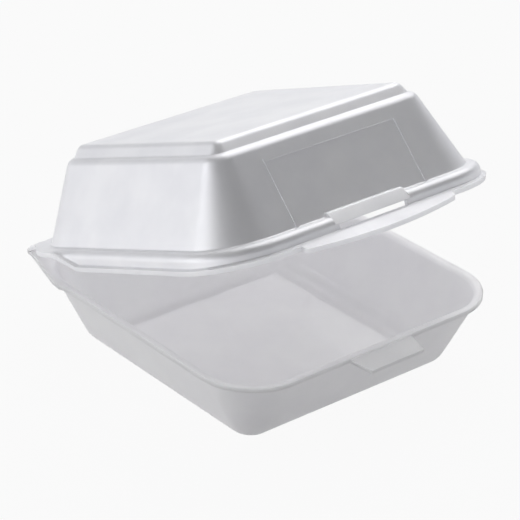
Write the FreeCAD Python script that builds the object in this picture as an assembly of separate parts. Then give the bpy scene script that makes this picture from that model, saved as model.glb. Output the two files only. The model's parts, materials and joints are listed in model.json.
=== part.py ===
import FreeCAD, Part
import math
import os

# A hinged foam food box, moulded from one sheet of extruded polystyrene foam.
# The base stands on the table and the lid stands ajar on the crushed crease behind it.
# Origin at the centre of the base's underside, +Z up, crease towards +Y, latch towards -Y.
# Millimetres.

Vector = FreeCAD.Vector
UP = Vector(0, 0, 1)

# The sheet
foam = 2.2
crushed_foam = 1.4
cut_edge_bevel = 0.4
smallest_bend = 0.5
smallest_round = 3.3

# The base, measured to the outer edge of its rim
tray_width = 150.0
tray_depth = 152.0
tray_height = 36.5
corner_radius = 27.0
base_lip = 2.2
base_foot_inset = 18.6
base_foot_radius = 12.5
base_rim_bend = 0.8

# The latch tongue on the base's front rim
tongue_root_width = 35.0
tongue_tip_width = 29.0
tongue_length = 10.5
tongue_drop = 0.9
tongue_droop = 1.0
tongue_corner = 2.0
tongue_root_overlap = 1.0

# How the closed lid sits over the base
seat_gap = 0.3
skirt_gap = 0.5

# The lid, measured from the base's rim as it lies closed
lid_wall_foot_inset = 2.7
lid_shoulder_inset = 18.2
lid_shoulder_height = 37.0
lid_shoulder_radius = 5.0
lid_groove_inset = 21.6
lid_groove_height = 37.6
lid_groove_radius = 1.0
lid_plateau_inset = 23.2
lid_plateau_height = 42.6
lid_plateau_radius = 4.6
lid_wall_foot_radius = 1.0
bead_radius = 3.5
skirt_drop = 5.6
skirt_bend = 0.8
lip_width = 2.0
lip_droop_angle = 16.0

# The skirt runs out in a ramp on each side, in front of the back corners
ramp_length = 18.0
ramp_end_before_corner = 3.0

# The crease and the hinge strips that meet on it
crease_reach = 9.0
crease_drop = 1.6
crease_gap = 0.2
hinge_strip_width = 134.0
base_flange_width = 2.8

# The latch boss, the slit the tongue comes through and the thumb tab on the lid's front
slit_side_clearance = 1.25
slit_top_clearance = 0.2
boss_cheek = 1.75
boss_rise = 3.3
boss_wall_overlap = 0.6
boss_round = 1.2
tab_width = 82.0
tab_middle_reach = 8.0
tab_end_reach = 3.4
tab_corner = 2.5

# The raised outline on the lid's front wall
outline_corner_inset = 12.0
outline_top_gap = 6.5
outline_rib_width = 1.2
outline_rise = 0.4
outline_bend = 3.0

# How far the lid stands open in the rest pose
rest_opening_angle = 21.5

# Worked out from the sizes above
corner_x = tray_width / 2 - corner_radius
corner_y = tray_depth / 2 - corner_radius
crease_y = tray_depth / 2 + crease_reach
crease_z = tray_height + seat_gap / 2 - crease_drop
ledge_top = seat_gap + foam
skirt_face = skirt_gap + foam
lip_edge = skirt_face + lip_width
lip_slope = math.tan(math.radians(lip_droop_angle))
ramp_end = corner_y - ramp_end_before_corner
ramp_start = ramp_end - ramp_length
rim_join = 1.2
touching = 1e-3
wall_lean = (lid_shoulder_inset - lid_wall_foot_inset) / (lid_shoulder_height - ledge_top)
slit_width = tongue_root_width + 2 * slit_side_clearance
slit_top_drop = tongue_drop - slit_top_clearance
slit_bottom_drop = tongue_drop + tongue_droop + crushed_foam
boss_width = slit_width + 2 * boss_cheek
boss_depth = skirt_face + lid_wall_foot_inset + boss_rise * wall_lean + boss_wall_overlap


def rounded_face(corners):
    """A face in the XZ plane from closed corners (x, z, radius), each rounded by its radius.

    A bend tighter than smallest_round is drawn as a flat bevel that touches the bend's middle.
    """
    edges = []
    starts = []
    ends = []
    count = len(corners)
    arcs = []
    for index in range(count):
        x, z, radius = corners[index]
        here = Vector(x, 0, z)
        before = Vector(corners[index - 1][0], 0, corners[index - 1][1])
        after = Vector(corners[(index + 1) % count][0], 0, corners[(index + 1) % count][1])
        back = (before - here).normalize()
        ahead = (after - here).normalize()
        turn = math.pi - back.getAngle(ahead)
        if radius < 1e-6 or turn < 1e-6:
            starts.append(here)
            ends.append(here)
            arcs.append(None)
            continue
        towards = (back + ahead).normalize()
        cut_off = radius / math.cos(turn / 2) - radius
        if radius < smallest_round:
            reach = cut_off / math.sin(turn / 2)
            start, end = here + back * reach, here + ahead * reach
            arcs.append(Part.LineSegment(start, end).toShape())
        else:
            reach = radius * math.tan(turn / 2)
            start, end = here + back * reach, here + ahead * reach
            arcs.append(Part.Arc(start, here + towards * cut_off, end).toShape())
        starts.append(start)
        ends.append(end)
    for index in range(count):
        if arcs[index] is not None:
            edges.append(arcs[index])
        following = (index + 1) % count
        if ends[index].distanceToPoint(starts[following]) > 1e-6:
            edges.append(Part.LineSegment(ends[index], starts[following]).toShape())
    return Part.Face(Part.Wire(edges))


def sheet_face(path, thickness, end_bevel):
    """The section of a sheet: a path of (x, z, radius) and its offset by a signed thickness."""
    count = len(path)
    directions = []
    for index in range(count - 1):
        step = Vector(path[index + 1][0] - path[index][0], 0, path[index + 1][1] - path[index][1])
        directions.append(step.normalize())
    normals = [Vector(-step.z, 0, step.x) for step in directions]
    far_side = []
    for index in range(count):
        x, z, radius = path[index]
        first = normals[max(index - 1, 0)]
        second = normals[min(index, count - 2)]
        miter = (first + second) * (thickness / (1 + first.dot(second)))
        if 0 < index < count - 1:
            one, two = directions[index - 1], directions[index]
            left_turn = one.x * two.z - one.z * two.x > 0
            radius = radius - thickness if left_turn else radius + thickness
            radius = radius if radius > smallest_bend else 0
        far_side.append((x + miter.x, z + miter.z, radius))
    near_side = list(path)
    if end_bevel:
        back = directions[-1] * end_bevel
        across = normals[-1] * math.copysign(end_bevel, thickness)
        for side, inwards in ((near_side, across), (far_side, -across)):
            x, z, radius = side.pop()
            side.append((x - back.x, z - back.z, 0))
            side.append((x + inwards.x, z + inwards.z, 0))
    return rounded_face(near_side + far_side[::-1])


def turned(shape, quarter):
    copy = shape.copy()
    copy.rotate(Vector(0, 0, 0), UP, 90 * quarter)
    return copy


def corner_piece(face, quarter):
    """A section turned round one corner: 0 is +X+Y, 1 is -X+Y, 2 is -X-Y, 3 is +X-Y."""
    across, along = (corner_x, corner_y) if quarter % 2 == 0 else (corner_y, corner_x)
    piece = face.revolve(Vector(0, 0, 0), UP, 90)
    piece.translate(Vector(across, along, 0))
    return turned(piece, quarter)


def side_piece(face, quarter, start=None, end=None):
    """A section drawn along one straight side: 0 is +X, 1 is +Y, 2 is -X, 3 is -Y."""
    across, along = (corner_x, corner_y) if quarter % 2 == 0 else (corner_y, corner_x)
    start = -along if start is None else start
    end = along if end is None else end
    piece = face.copy()
    piece.translate(Vector(across, start, 0))
    return turned(piece.extrude(Vector(0, end - start, 0)), quarter)


def full_ring(face):
    pieces = []
    for quarter in range(4):
        pieces.append(corner_piece(face, quarter))
        pieces.append(side_piece(face, quarter))
    return pieces


def fused(pieces):
    shape = pieces[0].multiFuse(pieces[1:]).removeSplitter()
    return shape


def middle_slab(bottom):
    slab = Part.makeBox(2 * corner_x, 2 * corner_y, foam)
    slab.translate(Vector(-corner_x, -corner_y, bottom))
    return slab


def rounded_prism(grow, bottom, top):
    """A block with the base rim's plan, grown outwards by grow."""
    face = rounded_face([(0, bottom, 0), (corner_radius + grow, bottom, 0),
                         (corner_radius + grow, top, 0), (0, top, 0)])
    core = Part.makeBox(2 * corner_x, 2 * corner_y, top - bottom)
    core.translate(Vector(-corner_x, -corner_y, bottom))
    return fused(full_ring(face) + [core])


def plan_prism(points, bottom, top):
    """A straight-sided block from points in plan."""
    corners = [Vector(x, y, bottom) for x, y in points]
    face = Part.Face(Part.makePolygon(corners + corners[:1]))
    return face.extrude(Vector(0, 0, top - bottom))


def front_profile(points, half_width):
    """A block of constant section across the front: points are (outwards from the rim, z)."""
    corners = [Vector(-half_width, -tray_depth / 2 - out, z) for out, z in points]
    face = Part.Face(Part.makePolygon(corners + corners[:1]))
    return face.extrude(Vector(2 * half_width, 0, 0))


# Base: floor, rounded foot, leaning wall and rolled rim, all one section of the sheet
def make_base_shell():
    path = [(0, 0, 0),
            (corner_radius - base_foot_inset, 0, base_foot_radius),
            (corner_radius - base_lip, tray_height - foam, base_rim_bend),
            (corner_radius, tray_height - foam, 0)]
    section = sheet_face(path, foam, cut_edge_bevel)
    return full_ring(section) + [middle_slab(0)]


def strip_plan(grow, bottom, top):
    """The hinge strip's plan: it narrows from the back corners' outline to the crease."""
    half_strip = hinge_strip_width / 2
    back = crease_y - crease_gap / 2
    reach = (corner_radius + grow) / math.sqrt(2)
    side_x, side_y = corner_x + reach, corner_y + reach
    return plan_prism([(-half_strip, back), (-side_x, side_y), (side_x, side_y), (half_strip, back)],
                      bottom, top)


def side_band(points):
    """A block of constant section from side to side: points are (y, z)."""
    corners = [Vector(-tray_width, y, z) for y, z in points]
    face = Part.Face(Part.makePolygon(corners + corners[:1]))
    return face.extrude(Vector(2 * tray_width, 0, 0))


# Base: the flange round the back corners and its half of the hinge strip.
# The strip thins towards the crease, where the foam is crushed.
def make_base_flange():
    top = tray_height
    low, high = top - 2 * foam, top + foam
    start = ramp_end + seat_gap
    flat_end = tray_depth / 2 + base_flange_width
    plan = rounded_prism(base_flange_width, low, high).fuse(strip_plan(base_flange_width, low, high))
    band = side_band([(start, top - foam), (flat_end, top - foam),
                      (crease_y, crease_z - crushed_foam), (crease_y, crease_z),
                      (flat_end, top), (start, top)])
    return plan.common(band).cut(rounded_prism(-rim_join, low - foam, high + foam))


# Base: the latch tongue, a flat tab that droops from the front rim
def make_tongue():
    top = tray_height - tongue_drop
    fall = tongue_droop / tongue_length
    inside = tongue_root_overlap
    blade = front_profile([(-inside, top + fall * inside),
                           (tongue_length, top - tongue_droop),
                           (tongue_length, top - tongue_droop - crushed_foam),
                           (-inside, top + fall * inside - crushed_foam)], tongue_root_width)
    root, tip = tongue_root_width / 2, tongue_tip_width / 2
    front = -tray_depth / 2
    plan = plan_prism([(-root, front + inside), (-root, front),
                       (-tip, front - tongue_length), (tip, front - tongue_length),
                       (root, front), (root, front + inside)],
                      top - 3 * foam, top + foam)
    upright = [edge for edge in plan.Edges
               if abs(edge.BoundBox.YMax + tray_depth / 2 + tongue_length) < touching
               and edge.BoundBox.ZLength > foam]
    plan = plan.makeFillet(tongue_corner, upright)
    return blade.common(plan)


def make_base_tray():
    return fused(make_base_shell() + [make_base_flange(), make_tongue()])


# Lid: plateau, groove, rounded shoulder and leaning wall, down to the ledge on the base's rim
def make_lid_shell():
    path = [(0, tray_height + lid_plateau_height, 0),
            (corner_radius - lid_plateau_inset, tray_height + lid_plateau_height, lid_plateau_radius),
            (corner_radius - lid_groove_inset, tray_height + lid_groove_height, lid_groove_radius),
            (corner_radius - lid_shoulder_inset, tray_height + lid_shoulder_height,
             lid_shoulder_radius),
            (corner_radius - lid_wall_foot_inset, tray_height + ledge_top, lid_wall_foot_radius),
            (corner_radius - rim_join, tray_height + ledge_top, 0)]
    section = sheet_face(path, -foam, 0)
    return full_ring(section) + [middle_slab(tray_height + lid_plateau_height - foam)]


def skirt_section(inner):
    """Ledge, rolled bead, skirt and drooping lip."""
    top = tray_height + ledge_top
    lip_root = top - skirt_drop
    return sheet_face([(inner, top, 0),
                       (corner_radius + skirt_face, top, bead_radius),
                       (corner_radius + skirt_face, lip_root, skirt_bend),
                       (corner_radius + lip_edge, lip_root - lip_slope * lip_width, 0)],
                      -foam, cut_edge_bevel)


def flange_section(inner):
    """The same sheet where the skirt has run out, flat over the base's back flange."""
    top = tray_height + ledge_top
    step = seat_gap / 2
    return sheet_face([(inner, top, 0),
                       (corner_radius + skirt_gap, top, bead_radius),
                       (corner_radius + skirt_face, top - step, skirt_bend),
                       (corner_radius + lip_edge, top - step, 0)],
                      -foam, cut_edge_bevel)


def make_ramp():
    """The rim on the +X side where it changes from skirt to flange, ending flat on the shell."""
    inner = corner_radius - rim_join
    low = skirt_section(inner - foam)
    low.translate(Vector(corner_x, ramp_start, 0))
    high = flange_section(inner - foam)
    high.translate(Vector(corner_x, ramp_end, 0))
    outside = Part.makeBox(tray_width, ramp_length, 4 * foam + skirt_drop)
    outside.translate(Vector(corner_x + inner, ramp_start, tray_height - skirt_drop - foam))
    return Part.makeLoft([low.OuterWire, high.OuterWire], True, True).common(outside)


# Lid: the rim, with a skirt round the front, a ramp on each side and a flat flange behind
def make_lid_rim():
    skirt = skirt_section(corner_radius - rim_join)
    flange = flange_section(corner_radius - rim_join)
    ramp = make_ramp()
    pieces = [corner_piece(skirt, 2), corner_piece(skirt, 3), side_piece(skirt, 3),
              side_piece(skirt, 0, -corner_y, ramp_start),
              side_piece(skirt, 2, -ramp_start, corner_y),
              corner_piece(flange, 0), corner_piece(flange, 1), side_piece(flange, 1),
              side_piece(flange, 0, ramp_end, corner_y),
              side_piece(flange, 2, -corner_y, -ramp_end),
              ramp, ramp.mirror(Vector(0, 0, 0), Vector(1, 0, 0))]
    return pieces


# Lid: its half of the hinge strip, from the back flange down to the crease
def make_lid_strip():
    flange_bottom = tray_height + seat_gap / 2
    low, high = crease_z - foam, flange_bottom + 2 * foam
    flat_end = tray_depth / 2 + base_flange_width
    band = side_band([(corner_y, flange_bottom), (flat_end, flange_bottom), (crease_y, crease_z),
                      (crease_y, crease_z + crushed_foam), (flat_end, flange_bottom + foam),
                      (corner_y, flange_bottom + foam)])
    return strip_plan(lip_edge, low, high).common(band).cut(
        rounded_prism(-rim_join, low - foam, high + foam))


# Lid: the thumb tab, where the front lip runs further out in a shallow bow
def make_thumb_tab():
    root_z = tray_height + ledge_top - skirt_drop
    inner = skirt_face - foam / 2
    outer = lip_edge + 2 * tab_middle_reach
    blade = front_profile([(inner, root_z + lip_slope * (skirt_face - inner)),
                           (outer, root_z - lip_slope * (outer - skirt_face)),
                           (outer, root_z - lip_slope * (outer - skirt_face) - foam),
                           (inner, root_z + lip_slope * (skirt_face - inner) - foam)],
                          tab_width)
    front = -tray_depth / 2
    low = root_z - lip_slope * outer - 2 * foam
    left = Vector(-tab_width / 2, front - lip_edge - tab_end_reach, low)
    middle = Vector(0, front - lip_edge - tab_middle_reach, low)
    right = Vector(tab_width / 2, front - lip_edge - tab_end_reach, low)
    root_right = Vector(tab_width / 2, front - inner, low)
    root_left = Vector(-tab_width / 2, front - inner, low)
    outline = Part.Wire([Part.Arc(left, middle, right).toShape(),
                         Part.LineSegment(right, root_right).toShape(),
                         Part.LineSegment(root_right, root_left).toShape(),
                         Part.LineSegment(root_left, left).toShape()])
    plan = Part.Face(outline).extrude(Vector(0, 0, root_z + 2 * foam - low))
    upright = [edge for edge in plan.Edges
               if edge.BoundBox.ZLength > foam
               and abs(edge.BoundBox.YMax - left.y) < touching]
    return blade.common(plan.makeFillet(tab_corner, upright))


# Lid: the latch boss, a flat-faced box in the wall over the slit
def make_boss_block():
    front = -tray_depth / 2 - skirt_face
    height = ledge_top - seat_gap + boss_rise
    block = Part.makeBox(boss_width, boss_depth, height)
    block.translate(Vector(-boss_width / 2, front, tray_height + seat_gap))
    top = tray_height + seat_gap + height
    rounded = [edge for edge in block.Edges
               if (edge.BoundBox.ZMin > top - touching and edge.BoundBox.YMax < front + touching)
               or (edge.BoundBox.ZMin > top - touching and edge.BoundBox.XLength < touching)
               or (edge.BoundBox.YMax < front + touching and edge.BoundBox.XLength < touching)]
    return block.makeFillet(boss_round, rounded)


def make_boss_pocket():
    front = -tray_depth / 2 - skirt_gap
    height = boss_rise + ledge_top - foam + seat_gap
    pocket = Part.makeBox(boss_width - 2 * foam, boss_depth + foam, height)
    pocket.translate(Vector(-boss_width / 2 + foam, front, tray_height + ledge_top + boss_rise
                            - foam - height))
    return pocket


# Lid: the raised outline, a rib across the front wall and down both its sides to the bead
def make_wall_outline():
    run = lid_shoulder_inset - lid_wall_foot_inset
    rise = lid_shoulder_height - ledge_top
    half_width = corner_x - outline_corner_inset + outline_rib_width / 2
    height = math.hypot(run, rise) - outline_top_gap + outline_rib_width / 2
    depth = outline_rise + foam / 2
    outer = Part.makeBox(2 * half_width, depth, height)
    outer.translate(Vector(-half_width, -outline_rise, 0))
    inner = Part.makeBox(2 * (half_width - outline_rib_width), depth, height - outline_rib_width)
    inner.translate(Vector(outline_rib_width - half_width, -outline_rise, 0))
    rounded = []
    for solid, bend in ((outer, outline_bend), (inner, outline_bend - outline_rib_width)):
        top = solid.BoundBox.ZMax
        edges = [edge for edge in solid.Edges
                 if edge.BoundBox.ZMin > top - touching and edge.BoundBox.XLength < touching]
        rounded.append(solid.makeFillet(bend, edges))
    rib = rounded[0].cut(rounded[1])
    rib.rotate(Vector(0, 0, 0), Vector(-1, 0, 0), math.degrees(math.atan2(run, rise)))
    rib.translate(Vector(0, lid_wall_foot_inset - tray_depth / 2, tray_height + ledge_top))
    return rib


def make_slit():
    slit = Part.makeBox(slit_width, skirt_face + foam, slit_bottom_drop - slit_top_drop)
    slit.translate(Vector(-slit_width / 2, -tray_depth / 2 - skirt_face - foam / 2,
                          tray_height - slit_bottom_drop))
    return slit


def make_lid():
    lid = fused(make_lid_shell() + make_lid_rim() + [make_lid_strip(), make_thumb_tab(),
                                                     make_wall_outline()])
    lid = lid.fuse(make_boss_block()).cut(make_boss_pocket()).cut(make_slit()).removeSplitter()
    lid.rotate(Vector(0, crease_y, crease_z), Vector(-1, 0, 0), rest_opening_angle)
    return lid


os.makedirs("parts", exist_ok=True)
for name, shape in (("base_tray", make_base_tray()), ("lid", make_lid())):
    shape.exportStep("parts/" + name + ".step")
    print(name, "solids", len(shape.Solids), "valid", shape.isValid(),
          "volume", round(shape.Volume, 1))
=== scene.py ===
import json
import math
import bmesh
import bpy
from mathutils import Matrix, Vector


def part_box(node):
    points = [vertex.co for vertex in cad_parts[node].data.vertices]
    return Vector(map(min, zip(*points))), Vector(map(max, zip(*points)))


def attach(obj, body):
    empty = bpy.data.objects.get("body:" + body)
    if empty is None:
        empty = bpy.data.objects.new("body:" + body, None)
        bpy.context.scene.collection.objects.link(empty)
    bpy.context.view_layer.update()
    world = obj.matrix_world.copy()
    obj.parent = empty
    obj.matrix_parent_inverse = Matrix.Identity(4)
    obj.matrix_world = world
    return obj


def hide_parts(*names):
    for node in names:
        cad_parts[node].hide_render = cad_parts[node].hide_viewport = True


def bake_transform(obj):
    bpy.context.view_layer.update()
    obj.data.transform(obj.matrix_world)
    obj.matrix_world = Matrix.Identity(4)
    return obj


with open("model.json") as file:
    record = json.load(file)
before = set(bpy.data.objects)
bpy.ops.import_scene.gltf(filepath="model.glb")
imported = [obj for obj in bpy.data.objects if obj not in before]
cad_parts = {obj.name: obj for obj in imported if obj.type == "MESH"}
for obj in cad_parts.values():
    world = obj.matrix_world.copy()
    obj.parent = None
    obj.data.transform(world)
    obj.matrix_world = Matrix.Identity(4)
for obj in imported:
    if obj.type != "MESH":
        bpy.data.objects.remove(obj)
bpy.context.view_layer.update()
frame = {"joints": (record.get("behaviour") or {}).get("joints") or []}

mm = 0.001


# Foam skin. The box is thermoformed from extruded polystyrene foam sheet. The hot mould
# leaves a closed skin over fine cells, so it is white with a silky, pearly sheen, faint
# cloudy patches from the stretch and a barely felt grain.
def linear(hex_colour):
    """An sRGB hex colour as linear red, green, blue and alpha."""
    channels = []
    for start in (1, 3, 5):
        value = int(hex_colour[start:start + 2], 16) / 255
        channels.append(value / 12.92 if value <= 0.04045 else ((value + 0.055) / 1.055) ** 2.4)
    return (*channels, 1.0)


def add_node(tree, kind, settings, links=()):
    """Adds a node with its settings, and its links as (source, output, target)."""
    node = tree.nodes.new(kind)
    for name, value in settings.items():
        if name in node.inputs:
            node.inputs[name].default_value = value
        else:
            setattr(node, name, value)
    for source, output, target in links:
        tree.links.new(source.outputs[output], node.inputs[target])
    return node


def foam_skin(name, light_hex, dark_hex, roughness, sheen_share, glow_share):
    """The moulded skin of the foam: a pearly sheen over white cells that let light through."""
    material = bpy.data.materials.new(name)
    material.use_nodes = True
    tree = material.node_tree
    shader = tree.nodes["Principled BSDF"]
    # the pearly sheen is drawn as a share of mirror under a thin, soft coat
    shader.inputs["Metallic"].default_value = sheen_share
    shader.inputs["IOR"].default_value = 1.59
    shader.inputs["Coat Weight"].default_value = 0.15
    shader.inputs["Coat Roughness"].default_value = 0.25
    # light gets about this far into the white cells and comes out again on the other side
    glow_reach = 8 * mm
    shader.inputs["Subsurface Weight"].default_value = glow_share
    shader.inputs["Subsurface Radius"].default_value = (1.0, 1.0, 1.0)
    shader.inputs["Subsurface Scale"].default_value = glow_reach
    place = add_node(tree, "ShaderNodeTexCoord", {})

    # cloudy density of the foam, patches about 25 mm across
    cloud_size = 25 * mm
    clouds = add_node(tree, "ShaderNodeTexNoise", {"Scale": 1 / cloud_size, "Detail": 3.0},
                      [(place, "Object", "Vector")])
    colour = add_node(tree, "ShaderNodeValToRGB", {}, [(clouds, "Fac", "Fac")])
    colour.color_ramp.elements[0].position = 0.35
    colour.color_ramp.elements[0].color = linear(dark_hex)
    colour.color_ramp.elements[1].position = 0.65
    colour.color_ramp.elements[1].color = linear(light_hex)
    tree.links.new(colour.outputs["Color"], shader.inputs["Base Color"])

    # the sheen is duller where the sheet stretched most, in patches about 9 mm across
    patch_size = 9 * mm
    patches = add_node(tree, "ShaderNodeTexNoise", {"Scale": 1 / patch_size, "Detail": 2.0},
                       [(place, "Object", "Vector")])
    dullness = add_node(tree, "ShaderNodeMapRange",
                        {"To Min": roughness - 0.05, "To Max": roughness + 0.06},
                        [(patches, "Fac", "Value")])
    tree.links.new(dullness.outputs["Result"], shader.inputs["Roughness"])

    # the cells are about 0.3 mm, drawn at 1.1 mm so that they show
    cell_size = 1.1 * mm
    cell_depth = 0.15 * mm
    cells = add_node(tree, "ShaderNodeTexVoronoi", {"Scale": 1 / cell_size},
                     [(place, "Object", "Vector")])
    grain = add_node(tree, "ShaderNodeBump", {"Strength": 0.05, "Distance": cell_depth},
                     [(cells, "Distance", "Height")])
    # the skin's waviness, about 14 mm from crest to crest
    wave_size = 14 * mm
    wave_depth = 0.6 * mm
    waves = add_node(tree, "ShaderNodeTexNoise", {"Scale": 1 / wave_size, "Detail": 1.0},
                     [(place, "Object", "Vector")])
    wavy = add_node(tree, "ShaderNodeBump", {"Strength": 0.25, "Distance": wave_depth},
                    [(waves, "Fac", "Height"), (grain, "Normal", "Normal")])
    tree.links.new(wavy.outputs["Normal"], shader.inputs["Normal"])
    return material


# Base tray. The lower half of the box: a floor, a large rounded foot, leaning walls and a
# short rim lip, moulded from the sheet in one piece with the flange round its back corners,
# its half of the hinge strip, and the latch tongue on its front rim.
# how close counts as being at a place, and as the same point
near = 0.1 * mm
touching = 0.01 * mm
foam = 2.2 * mm
crushed_foam = 1.4 * mm
# the strips are pressed thinnest at the crease, so that they clear each other when closed
crease_thickness = 1.2 * mm
cut_edge_bevel = 0.35 * mm
base_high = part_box("base_tray")[1]
tray_height = base_high.z
corner_radius = 27 * mm
# the solid's flange is this wide round the back corners, and the real one is narrower
flange_width = 2.8 * mm
flange_shown = 1.3 * mm
flange_start = 46.3 * mm
corner_x = base_high.x - flange_width - corner_radius
hinge = frame["joints"][0]
crease = Vector(hinge["pos_m"])
crease_reach = 9 * mm
rim_back = crease.y - crease_reach
rim_front = -rim_back
corner_y = rim_back - corner_radius
back_flat_end = rim_back + flange_width
strip_half_width = 67 * mm
side_steps = 28
front_steps = 14
corner_steps = 16
rim_bend = 0.8 * mm
base_lip = 2.2 * mm
base_foot_inset = 18.6 * mm
base_foot_radius = 12.5 * mm
# the hinge strip joins the rim at 45 degrees round each corner, and this is a degree past it
strip_joins_by = math.radians(46)


def begin_mesh(name, place):
    """A new mesh in edit mode, with one selected vertex at a place."""
    bpy.ops.object.select_all(action="DESELECT")
    bpy.ops.mesh.primitive_plane_add(size=1 * mm, location=(0, 0, 0))
    piece = bpy.context.object
    piece.name = name
    bpy.ops.object.mode_set(mode="EDIT")
    bpy.ops.mesh.select_all(action="SELECT")
    bpy.ops.mesh.merge(type="CENTER")
    bpy.ops.transform.translate(value=place)
    return piece


def draw_section(name, path):
    """Draws a sheet's section at the start of the +X side: path is (out from corner, z, radius)."""
    points = []
    for index, (out, height, radius) in enumerate(path):
        here = Vector((corner_x + out, -corner_y, height))
        if radius == 0:
            points.append(here)
            continue
        before = Vector((corner_x + path[index - 1][0], -corner_y, path[index - 1][1]))
        after = Vector((corner_x + path[index + 1][0], -corner_y, path[index + 1][1]))
        back = (before - here).normalized()
        ahead = (after - here).normalized()
        turn = math.pi - back.angle(ahead)
        centre = here + (back + ahead).normalized() * (radius / math.cos(turn / 2))
        spoke = here + back * (radius * math.tan(turn / 2)) - centre
        axis = (-back).cross(ahead).normalized()
        steps = max(4, round(turn / math.radians(9)))
        for step in range(steps + 1):
            points.append(centre + Matrix.Rotation(turn * step / steps, 3, axis) @ spoke)
    piece = begin_mesh(name, points[0])
    for start, end in zip(points, points[1:]):
        bpy.ops.mesh.extrude_region_move(TRANSFORM_OT_translate={"value": end - start})
    return piece


def pick(wanted):
    """Selects the vertices whose place passes a test, and the edges between them."""
    drawn = bmesh.from_edit_mesh(bpy.context.object.data)
    for vertex in drawn.verts:
        vertex.select = wanted(vertex.co)
    drawn.select_mode = {"VERT"}
    drawn.select_flush_mode()
    bmesh.update_edit_mesh(bpy.context.object.data)


def pick_edges(wanted):
    """Selects the edges whose two ends pass a test together."""
    drawn = bmesh.from_edit_mesh(bpy.context.object.data)
    for edge in drawn.edges:
        edge.select = wanted(edge.verts[0].co, edge.verts[1].co)
    drawn.select_flush(False)
    bmesh.update_edit_mesh(bpy.context.object.data)


def place_vertices(rule):
    """Moves every vertex to where a rule puts it."""
    drawn = bmesh.from_edit_mesh(bpy.context.object.data)
    for vertex in drawn.verts:
        vertex.co = rule(vertex.co.copy())
    bmesh.update_edit_mesh(bpy.context.object.data)


def sweep_section():
    """Carries the drawn section round the four sides and corners, and fills the middle."""
    bpy.ops.mesh.select_all(action="SELECT")
    for quarter in range(4):
        along = Matrix.Rotation(quarter * math.pi / 2, 3, "Z") @ Vector((0, 1, 0))
        length, steps = 2 * corner_y, side_steps
        if quarter % 2 == 1:
            length, steps = 2 * corner_x, front_steps
        for _ in range(steps):
            bpy.ops.mesh.extrude_region_move(TRANSFORM_OT_translate={"value": along * length / steps})
        centre = (corner_x if quarter in (0, 3) else -corner_x,
                  corner_y if quarter in (0, 1) else -corner_y, 0)
        bpy.ops.mesh.spin(steps=corner_steps, angle=math.pi / 2, center=centre, axis=(0, 0, -1))
    bpy.ops.mesh.select_all(action="SELECT")
    bpy.ops.mesh.remove_doubles(threshold=touching)
    pick(lambda co: abs(abs(co.y) - corner_y) < near and abs(co.x) < corner_x + near)
    bpy.ops.mesh.bridge_edge_loops(number_cuts=side_steps - 1, interpolation="LINEAR")
    bpy.ops.mesh.select_all(action="SELECT")
    bpy.ops.mesh.remove_doubles(threshold=touching)


def out_from_core(co):
    """How far a point is from the block between the corner centres, and in which direction."""
    away = Vector((math.copysign(max(abs(co.x) - corner_x, 0), co.x),
                   math.copysign(max(abs(co.y) - corner_y, 0), co.y), 0))
    return away.length, away.normalized() if away.length > 0 else away


def draw_hinge_strip(rim_reach, rim_height):
    """Draws the rim's back edge, from half way round each corner, out to the crease."""
    start_y = corner_y + rim_reach / math.sqrt(2)
    pick(lambda co: co.y > start_y - near and out_from_core(co)[0] > rim_reach - near)
    drawn = bmesh.from_edit_mesh(bpy.context.object.data)
    start_x = max(vertex.co.x for vertex in drawn.verts if vertex.select)
    narrowing = strip_half_width / start_x - 1
    steps = 3
    for step in range(steps):
        done, now = step / steps, (step + 1) / steps
        bpy.ops.mesh.extrude_region_move(TRANSFORM_OT_translate={"value": (0, 0, 0)})
        bpy.ops.transform.resize(
            value=((1 + now * narrowing) / (1 + done * narrowing), (1 - now) / (1 - done), 1),
            center_override=(0, crease.y, rim_height))


def give_thickness(piece, faces_down):
    """Turns the drawn skin into a sheet, thinner where the crease is crushed."""
    bpy.ops.mesh.select_all(action="SELECT")
    bpy.ops.mesh.normals_make_consistent(inside=False)
    drawn = bmesh.from_edit_mesh(piece.data)
    middle = min(drawn.faces, key=lambda face: face.calc_center_median().xy.length)
    if (middle.normal.z < 0) != faces_down:
        bpy.ops.mesh.flip_normals()
    bpy.ops.object.mode_set(mode="OBJECT")
    group = piece.vertex_groups.new(name="thickness")
    for vertex in piece.data.vertices:
        share = min(max((vertex.co.y - back_flat_end) / (crease.y - back_flat_end), 0), 1)
        group.add([vertex.index], 1 - share * (1 - crease_thickness / foam), "REPLACE")
    solid = piece.modifiers.new("thickness", "SOLIDIFY")
    solid.thickness = foam
    solid.offset = -1
    solid.use_even_offset = True
    solid.vertex_group = "thickness"
    bpy.ops.object.modifier_apply(modifier="thickness")
    soft_cut = piece.modifiers.new("cut edge", "BEVEL")
    soft_cut.limit_method = "ANGLE"
    soft_cut.angle_limit = math.radians(55)
    soft_cut.width = cut_edge_bevel
    soft_cut.segments = 2
    bpy.ops.object.modifier_apply(modifier="cut edge")


def combine(piece, tool, operation):
    """Joins a shape to the sheet, or cuts it out."""
    bpy.ops.object.select_all(action="DESELECT")
    bpy.context.view_layer.objects.active = piece
    piece.select_set(True)
    joint = piece.modifiers.new("combine", "BOOLEAN")
    joint.operation = operation
    joint.solver = "EXACT"
    joint.object = tool
    bpy.ops.object.modifier_apply(modifier="combine")
    bpy.data.objects.remove(tool)


def block(name, low, high):
    """A primitive box between two corners, left in edit mode with everything selected."""
    bpy.ops.object.select_all(action="DESELECT")
    bpy.ops.mesh.primitive_cube_add(size=1, location=(0, 0, 0))
    piece = bpy.context.object
    piece.name = name
    bpy.ops.object.mode_set(mode="EDIT")
    low, high = Vector(low), Vector(high)
    bpy.ops.transform.resize(value=high - low, center_override=(0, 0, 0))
    bpy.ops.transform.translate(value=(low + high) / 2)
    return piece


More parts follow.
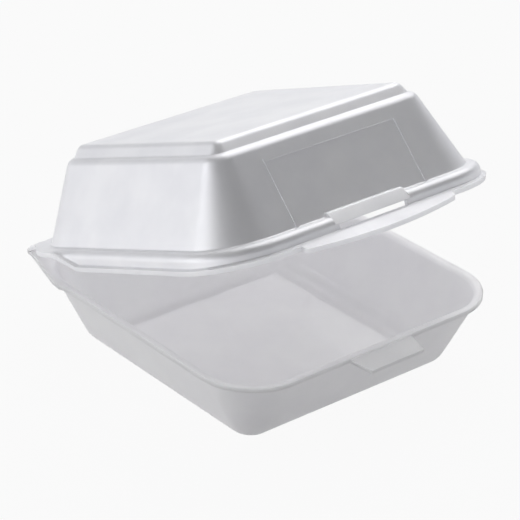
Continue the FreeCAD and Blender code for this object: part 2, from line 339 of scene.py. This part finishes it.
def finish_shading(piece, material):
    """Smooth shading with flats kept flat, and the piece's one material."""
    bpy.ops.object.select_all(action="DESELECT")
    bpy.context.view_layer.objects.active = piece
    piece.select_set(True)
    bpy.ops.object.shade_smooth_by_angle(angle=math.radians(40))
    even = piece.modifiers.new("even shading", "WEIGHTED_NORMAL")
    even.keep_sharp = True
    even.weight = 60
    bpy.ops.object.modifier_apply(modifier="even shading")
    piece.data.materials.clear()
    piece.data.materials.append(material)


base = draw_section("base_tray_foam", [
    (0, 0, 0),
    (corner_radius - base_foot_inset, 0, base_foot_radius),
    (corner_radius - base_lip, tray_height - foam, rim_bend),
    (corner_radius - base_lip / 2, tray_height - foam, 0),
    (corner_radius, tray_height - foam, 0)])
sweep_section()


def widen_base_flange(co):
    """A narrow flange, which fills the corner out to a straight line from rim to crease."""
    out, direction = out_from_core(co)
    if out < corner_radius - near or co.y < flange_start:
        return co
    reach = corner_radius + flange_shown
    crease_end = Vector((strip_half_width - corner_x, crease.y - corner_y))
    line_angle = math.atan2(crease_end.y, crease_end.x) - math.acos(reach / crease_end.length)
    angle = math.atan2(direction.y, abs(direction.x))
    if line_angle < angle < strip_joins_by:
        reach /= math.cos(angle - line_angle)
    return co + direction * (reach - out)


def lower_base_strip(co):
    """The strip's underside drops from the rim's to the crease's."""
    past = max(co.y - back_flat_end, 0) / (crease.y - back_flat_end)
    rim_bottom, crease_bottom = tray_height - foam, crease.z - crushed_foam
    return co + Vector((0, 0, past * (crease_bottom - rim_bottom)))


place_vertices(widen_base_flange)
draw_hinge_strip(corner_radius + flange_shown, tray_height - foam)
place_vertices(lower_base_strip)
give_thickness(base, faces_down=True)

# the tongue droops from the rim and narrows to its rounded end
tongue_root_width = 35 * mm
tongue_tip_width = 29 * mm
tongue_length = 10.5 * mm
tongue_drop = 0.9 * mm
tongue_droop = 1.0 * mm
tongue_overlap = 1.0 * mm
tongue_corner = 2.0 * mm
tongue_middle = rim_front - tongue_length / 2
tongue_top = tray_height - tongue_drop
tongue = block("tongue",
               (-tongue_root_width / 2, rim_front - tongue_length, tongue_top - crushed_foam),
               (tongue_root_width / 2, rim_front + tongue_overlap, tongue_top))
pick(lambda co: co.y < tongue_middle)
bpy.ops.transform.resize(value=(tongue_tip_width / tongue_root_width, 1, 1),
                         center_override=(0, rim_front, 0))
bpy.ops.transform.translate(value=(0, 0, -tongue_droop))
pick_edges(lambda one, two: max(one.y, two.y) < tongue_middle and abs(one.x - two.x) < near)
bpy.ops.mesh.bevel(offset=tongue_corner, segments=5)
bpy.ops.object.mode_set(mode="OBJECT")
combine(base, tongue, "UNION")

# the base's skin is the plain one, even and milky, with no pearl to it
base_foam = foam_skin("polystyrene_foam_base", "#f8f6f8", "#f3f1f4", 0.42, 0.0, 1.0)
finish_shading(base, base_foam)
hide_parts("base_tray")
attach(base, "base")


# Lid. The upper half of the same sheet: a plateau on a groove and a rounded shoulder, leaning
# walls, and a rolled bead whose skirt drops over the base's rim at the front and runs out in
# a ramp on each side. Its front carries the latch boss over its slit, and the thumb tab.
seat_gap = 0.3 * mm
ledge_top = tray_height + seat_gap + foam
skirt_gap = 0.5 * mm
skirt_face = skirt_gap + foam
wall_foot_inset = 2.7 * mm
wall_foot_radius = 1.0 * mm
shoulder_inset = 18.2 * mm
shoulder_height = tray_height + 37.0 * mm
shoulder_radius = 4.5 * mm
groove_inset = 21.1 * mm
groove_height = tray_height + 37.6 * mm
groove_radius = 1.0 * mm
plateau_inset = 24.4 * mm
plateau_height = tray_height + 42.6 * mm
plateau_radius = 3.9 * mm
bead_radius = 3.5 * mm
skirt_drop = 5.6 * mm
skirt_bottom = ledge_top - skirt_drop
lip_width = 2.0 * mm
lip_slope = math.tan(math.radians(16))
lip_edge = skirt_face + lip_width
rim_start = corner_radius + skirt_face - bead_radius
flange_drop = 0.15 * mm
ramp_start = 28 * mm
ramp_end = 46 * mm

lid = draw_section("lid_foam", [
    (0, plateau_height, 0),
    (corner_radius - plateau_inset, plateau_height, plateau_radius),
    (corner_radius - groove_inset, groove_height, groove_radius),
    (corner_radius - shoulder_inset, shoulder_height, shoulder_radius),
    (corner_radius - wall_foot_inset, ledge_top, wall_foot_radius),
    (corner_radius + skirt_face, ledge_top, bead_radius),
    (corner_radius + skirt_face, skirt_bottom, rim_bend),
    (corner_radius + lip_edge, skirt_bottom - lip_slope * lip_width, 0)])

# the rim's part of the section, in order from where the bead leaves the flat ledge to the
# lip's edge, and the length along it
rim_section = [(vertex.co.x - corner_x, vertex.co.z)
               for vertex in bmesh.from_edit_mesh(lid.data).verts
               if vertex.co.x - corner_x > rim_start]
rim_section.sort(key=lambda point: (round(point[0], 6), -point[1]))
rim_lengths = [0.0]
for one, two in zip(rim_section, rim_section[1:]):
    rim_lengths.append(rim_lengths[-1] + math.dist(one, two))
sweep_section()


def run_out_skirt(co):
    """The skirt's section opens into a flat flange along each side's ramp."""
    out, direction = out_from_core(co)
    share = min(max((co.y - ramp_start) / (ramp_end - ramp_start), 0), 1)
    if out <= rim_start or share == 0:
        return co
    place = min(range(len(rim_section)), key=lambda index: math.dist(rim_section[index], (out, co.z)))
    along = rim_lengths[place] / rim_lengths[-1]
    flat_out = rim_section[0][0] + along * (corner_radius + lip_edge - rim_section[0][0])
    flat_height = ledge_top - flange_drop * along
    return co + direction * (flat_out - out) * share + Vector((0, 0, (flat_height - co.z) * share))


def lower_lid_strip(co):
    """The strip's upper side drops from the flange's to the crease's."""
    past = max(co.y - back_flat_end, 0) / (crease.y - back_flat_end)
    return co + Vector((0, 0, past * (crease.z + crushed_foam - ledge_top + flange_drop)))


place_vertices(run_out_skirt)
draw_hinge_strip(corner_radius + lip_edge, ledge_top - flange_drop)
place_vertices(lower_lid_strip)

# the thumb tab: the front lip runs further out, in a shallow bow over 12 of the front's 14 steps
tab_steps = 12
tab_half_width = tab_steps * corner_x / front_steps
tab_middle_reach = 8.0 * mm
tab_end_reach = 3.4 * mm
tab_corner = 2.2 * mm
tab_root = rim_front - lip_edge
pick(lambda co: co.y < tab_root + near and abs(co.x) < tab_half_width + near)
bpy.ops.mesh.extrude_region_move(TRANSFORM_OT_translate={"value": (0, 0, 0)})
drawn_lid = bmesh.from_edit_mesh(lid.data)
for vertex in drawn_lid.verts:
    if vertex.select:
        bow = 1 - (vertex.co.x / tab_half_width) ** 2
        reach = tab_end_reach + (tab_middle_reach - tab_end_reach) * bow
        vertex.co += Vector((0, -reach, -reach * lip_slope))
bmesh.update_edit_mesh(lid.data)
pick(lambda co: co.y < tab_root - near and abs(co.x) > tab_half_width - near)
bpy.ops.mesh.bevel(affect="VERTICES", offset=tab_corner, segments=5)
give_thickness(lid, faces_down=False)

# the latch boss: a flat face over the slit, which leans back through the bead to the wall
slit_side_clearance = 1.25 * mm
slit_top_clearance = 0.2 * mm
slit_width = tongue_root_width + 2 * slit_side_clearance
slit_top = tongue_top + slit_top_clearance
slit_bottom = tongue_top - tongue_droop - crushed_foam
boss_cheek = 1.75 * mm
boss_half_width = slit_width / 2 + boss_cheek
boss_foot = tray_height - 0.5 * mm
boss_top = ledge_top + 1.8 * mm
boss_lean = 3.9 * mm
boss_depth = 7.5 * mm
boss_edge_bevel = 0.5 * mm
boss_front = rim_front - skirt_face
pocket_margin = 1.0 * mm
pocket_front = rim_front - skirt_gap
seat_height = ledge_top - foam
clearing = block("boss clearing", (-boss_half_width, boss_front - foam, boss_foot),
                 (boss_half_width, boss_front, boss_top))
pick(lambda co: co.z > boss_top - touching)
bpy.ops.transform.translate(value=(0, boss_lean, 0))
bpy.ops.object.mode_set(mode="OBJECT")
combine(lid, clearing, "DIFFERENCE")
boss = block("boss", (-boss_half_width, boss_front, boss_foot),
             (boss_half_width, boss_front + boss_depth, boss_top))
pick(lambda co: co.z > boss_top - touching and co.y < boss_front + boss_depth / 2)
bpy.ops.transform.translate(value=(0, boss_lean, 0))
pick_edges(lambda one, two: min(one.z, two.z) > boss_top - touching
           and min(one.y, two.y) < boss_front + boss_depth - near)
bpy.ops.mesh.bevel(offset=boss_edge_bevel, segments=3)
bpy.ops.object.mode_set(mode="OBJECT")
combine(lid, boss, "UNION")
# the pocket hollows the boss out over the base's rim, and the slit lets the tongue through
pocket = block("pocket",
               (-boss_half_width - pocket_margin, pocket_front, boss_foot - pocket_margin),
               (boss_half_width + pocket_margin, rim_front + boss_depth, seat_height))
bpy.ops.object.mode_set(mode="OBJECT")
combine(lid, pocket, "DIFFERENCE")
slit = block("slit", (-slit_width / 2, boss_front - foam / 2, slit_bottom),
             (slit_width / 2, rim_front + foam / 2, slit_top))
bpy.ops.object.mode_set(mode="OBJECT")
combine(lid, slit, "DIFFERENCE")

# the raised outline: a rib across the front wall and down both its sides to the bead
outline_corner_inset = 12 * mm
outline_top_gap = 6.5 * mm
outline_rib_width = 1.2 * mm
outline_rise = 0.45 * mm
outline_bend = 3.0 * mm
outline_half_width = corner_x - outline_corner_inset
wall_foot = Vector((0, rim_front + wall_foot_inset, ledge_top))
wall_slope = Vector((0, shoulder_inset - wall_foot_inset, shoulder_height - ledge_top))
outline_height = wall_slope.length - outline_top_gap
rib = block("outline", (-outline_half_width, -outline_rise, 0),
            (outline_half_width, foam / 2, outline_height))
pick_edges(lambda one, two: min(one.z, two.z) > outline_height - touching
           and abs(one.x - two.x) < touching)
bpy.ops.mesh.bevel(offset=outline_bend, segments=5)
bpy.ops.mesh.select_all(action="DESELECT")
bpy.ops.object.mode_set(mode="OBJECT")
# its hollow is a narrower and lower copy, three times as deep so that it cuts right through
hollow = rib.copy()
hollow.data = rib.data.copy()
bpy.context.scene.collection.objects.link(hollow)
narrower = (outline_half_width - outline_rib_width) / outline_half_width
hollow.data.transform(Matrix.Translation((0, 0, -outline_rib_width))
                      @ Matrix.Diagonal((narrower, 3, 1, 1)))
combine(rib, hollow, "DIFFERENCE")
rib.data.transform(Matrix.Translation(wall_foot)
                   @ Matrix.Rotation(-math.atan2(wall_slope.y, wall_slope.z), 4, "X"))
combine(lid, rib, "UNION")

# the lid was drawn closed, and stands open by the joint's travel up to its closed end
opening = -math.radians(hinge["range_deg"][0])
turn_open = (Matrix.Translation(crease)
             @ Matrix.Rotation(opening, 4, Vector(hinge["axis"]))
             @ Matrix.Translation(-crease))
lid.data.transform(turn_open)
# the lid's skin was stretched further over a deeper mould, which gives it its pearly sheen
lid_foam = foam_skin("polystyrene_foam_lid", "#f5f5f8", "#eeeef2", 0.5, 0.62, 1.0)
finish_shading(lid, lid_foam)
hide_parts("lid")
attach(lid, "lid")


# Crease. Between the two halves the sheet is crushed to a thin fold, which bends round the
# hinge line from the base's strip up to the lid's.
fold_trim = 0.3 * mm
fold_thickness = 1.26 * mm
fold = begin_mesh("crease_fold", Vector((-strip_half_width, crease.y - fold_trim,
                                         crease.z - crushed_foam)))
bpy.ops.mesh.extrude_region_move(TRANSFORM_OT_translate={"value": (2 * strip_half_width, 0, 0)})
bpy.ops.mesh.select_all(action="SELECT")
bpy.ops.mesh.extrude_region_move(TRANSFORM_OT_translate={"value": (0, fold_trim, 0)})
bpy.ops.mesh.spin(steps=12, angle=math.pi - opening, center=crease, axis=(-1, 0, 0))
trim_step = Matrix.Rotation(opening, 3, Vector(hinge["axis"])) @ Vector((0, -fold_trim, 0))
bpy.ops.mesh.extrude_region_move(TRANSFORM_OT_translate={"value": trim_step})
bpy.ops.mesh.select_all(action="SELECT")
bpy.ops.mesh.remove_doubles(threshold=touching)
bpy.ops.mesh.normals_make_consistent(inside=False)
bpy.ops.object.mode_set(mode="OBJECT")
fold_wall = fold.modifiers.new("thickness", "SOLIDIFY")
fold_wall.thickness = fold_thickness
fold_wall.offset = -1
bpy.ops.object.modifier_apply(modifier="thickness")
finish_shading(fold, base_foam)
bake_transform(fold)


# Studio. A white table in a room that is bright low down and dark overhead. Two soft lamps
# stand low on the left and a large one high behind on the right. What the camera sees of the
# room is plain white, and that white lights nothing.
bpy.ops.object.select_all(action="DESELECT")
bpy.ops.mesh.primitive_plane_add(size=6.0, location=(0, 0, 0))
table = bpy.context.object
table.name = "table"
# the table is matt card: it sends a little light up to the box, and is white to look at and
# in the sheen
table_white = 0.93
white_table = bpy.data.materials.new("white_table")
white_table.use_nodes = True
table_tree = white_table.node_tree
card = table_tree.nodes["Principled BSDF"]
card.inputs["Base Color"].default_value = linear("#a0a0a0")
card.inputs["Roughness"].default_value = 0.9
glow = add_node(table_tree, "ShaderNodeEmission", {"Color": (1, 1, 1, 1), "Strength": 1.0})
table_rays = add_node(table_tree, "ShaderNodeLightPath", {})
seen_or_mirrored = add_node(table_tree, "ShaderNodeMath", {"operation": "MAXIMUM"},
                            [(table_rays, "Is Camera Ray", 0), (table_rays, "Is Glossy Ray", 1)])
seen_at_all = add_node(table_tree, "ShaderNodeMath", {"operation": "MAXIMUM"},
                       [(seen_or_mirrored, "Value", 0), (table_rays, "Is Transmission Ray", 1)])
white_share = add_node(table_tree, "ShaderNodeMath", {"operation": "MULTIPLY"},
                       [(seen_at_all, "Value", 0)])
white_share.inputs[1].default_value = table_white
table_mix = add_node(table_tree, "ShaderNodeMixShader", {}, [(white_share, "Value", 0)])
table_tree.links.new(card.outputs["BSDF"], table_mix.inputs[1])
table_tree.links.new(glow.outputs["Emission"], table_mix.inputs[2])
table_tree.links.new(table_mix.outputs["Shader"], table_tree.nodes["Material Output"].inputs["Surface"])
table.data.materials.append(white_table)

world = bpy.data.worlds.new("studio")
bpy.context.scene.world = world
world.use_nodes = True
room_tree = world.node_tree
room = room_tree.nodes["Background"]
room.inputs["Color"].default_value = linear("#f4f6fa")
direction = add_node(room_tree, "ShaderNodeTexCoord", {})
parts = add_node(room_tree, "ShaderNodeSeparateXYZ", {}, [(direction, "Generated", "Vector")])
# the walls' light fades out between 7 and 33 degrees up, and there is a trace more behind
low_down = add_node(room_tree, "ShaderNodeMapRange",
                    {"interpolation_type": "SMOOTHSTEP", "From Min": 0.12, "From Max": 0.55,
                     "To Min": 0.78, "To Max": 0.0}, [(parts, "Z", "Value")])
behind = add_node(room_tree, "ShaderNodeMapRange",
                  {"interpolation_type": "SMOOTHSTEP", "From Min": 0.0, "From Max": 0.8,
                   "To Min": 0.0, "To Max": 0.05}, [(parts, "Y", "Value")])
level = add_node(room_tree, "ShaderNodeMath", {"operation": "ADD"},
                 [(low_down, "Result", 0), (behind, "Result", 1)])
room_tree.links.new(level.outputs["Value"], room.inputs["Strength"])
backdrop = add_node(room_tree, "ShaderNodeBackground", {"Color": (1, 1, 1, 1), "Strength": 1.0})
room_rays = add_node(room_tree, "ShaderNodeLightPath", {})
room_mix = add_node(room_tree, "ShaderNodeMixShader", {}, [(room_rays, "Is Camera Ray", 0)])
room_tree.links.new(room.outputs["Background"], room_mix.inputs[1])
room_tree.links.new(backdrop.outputs["Background"], room_mix.inputs[2])
room_tree.links.new(room_mix.outputs["Shader"], room_tree.nodes["World Output"].inputs["Surface"])


def add_soft_lamp(name, place, size, power):
    """A square white lamp, in metres and watts, aimed at the middle of the box."""
    data = bpy.data.lights.new(name, "AREA")
    data.size = size
    data.energy = power
    data.color = linear("#ffffff")[:3]
    lamp = bpy.data.objects.new(name, data)
    bpy.context.scene.collection.objects.link(lamp)
    lamp.location = place
    lamp.rotation_mode = "QUATERNION"
    aim = Vector((0, 0, 50 * mm)) - Vector(place)
    lamp.rotation_quaternion = aim.to_track_quat("-Z", "Y")
    return lamp


add_soft_lamp("left_softbox", (-0.95, 0.6, 0.4), 0.8, 2.6)
add_soft_lamp("left_low_softbox", (-1.1, -0.1, 0.2), 0.5, 1.3)
add_soft_lamp("back_softbox", (0.64, 0.52, 1.07), 1.2, 8.4)
# thin foam lets light from above through to the inside of the box. This lamp stands for that
# light, so it casts no shadow and the sheen doesn't mirror it.
overhead_fill = add_soft_lamp("overhead_fill", (0.0, 0.0, 1.2), 1.0, 9.5)
overhead_fill.data.use_shadow = False
overhead_fill.visible_glossy = False


# Camera. It looks down over the near left corner, from about a metre, with a long lens.
camera_data = bpy.data.cameras.new("camera")
camera = bpy.data.objects.new("camera", camera_data)
bpy.context.scene.collection.objects.link(camera)
bpy.context.scene.camera = camera
azimuth, elevation, roll = math.radians(-40.04), math.radians(27.84), math.radians(1.31)
target = Vector((-8.96 * mm, 0, 47.13 * mm))
distance = 1018.69 * mm
back = Vector((math.sin(azimuth) * math.cos(elevation), -math.cos(azimuth) * math.cos(elevation),
               math.sin(elevation)))
image_side = 520
focal_pixels = 2339.83
shift_right_pixels = 9.99
shift_up_pixels = 1.71
camera_data.sensor_width = 36.0
camera_data.lens = focal_pixels / image_side * camera_data.sensor_width
camera_data.shift_x = shift_right_pixels / image_side
camera_data.shift_y = shift_up_pixels / image_side
camera.location = target + back * distance
camera.rotation_mode = "QUATERNION"
straight = (-back).to_track_quat("-Z", "Y")
camera.rotation_quaternion = Matrix.Rotation(-roll, 3, -back).to_quaternion() @ straight
bpy.context.scene.view_settings.view_transform = "Standard"
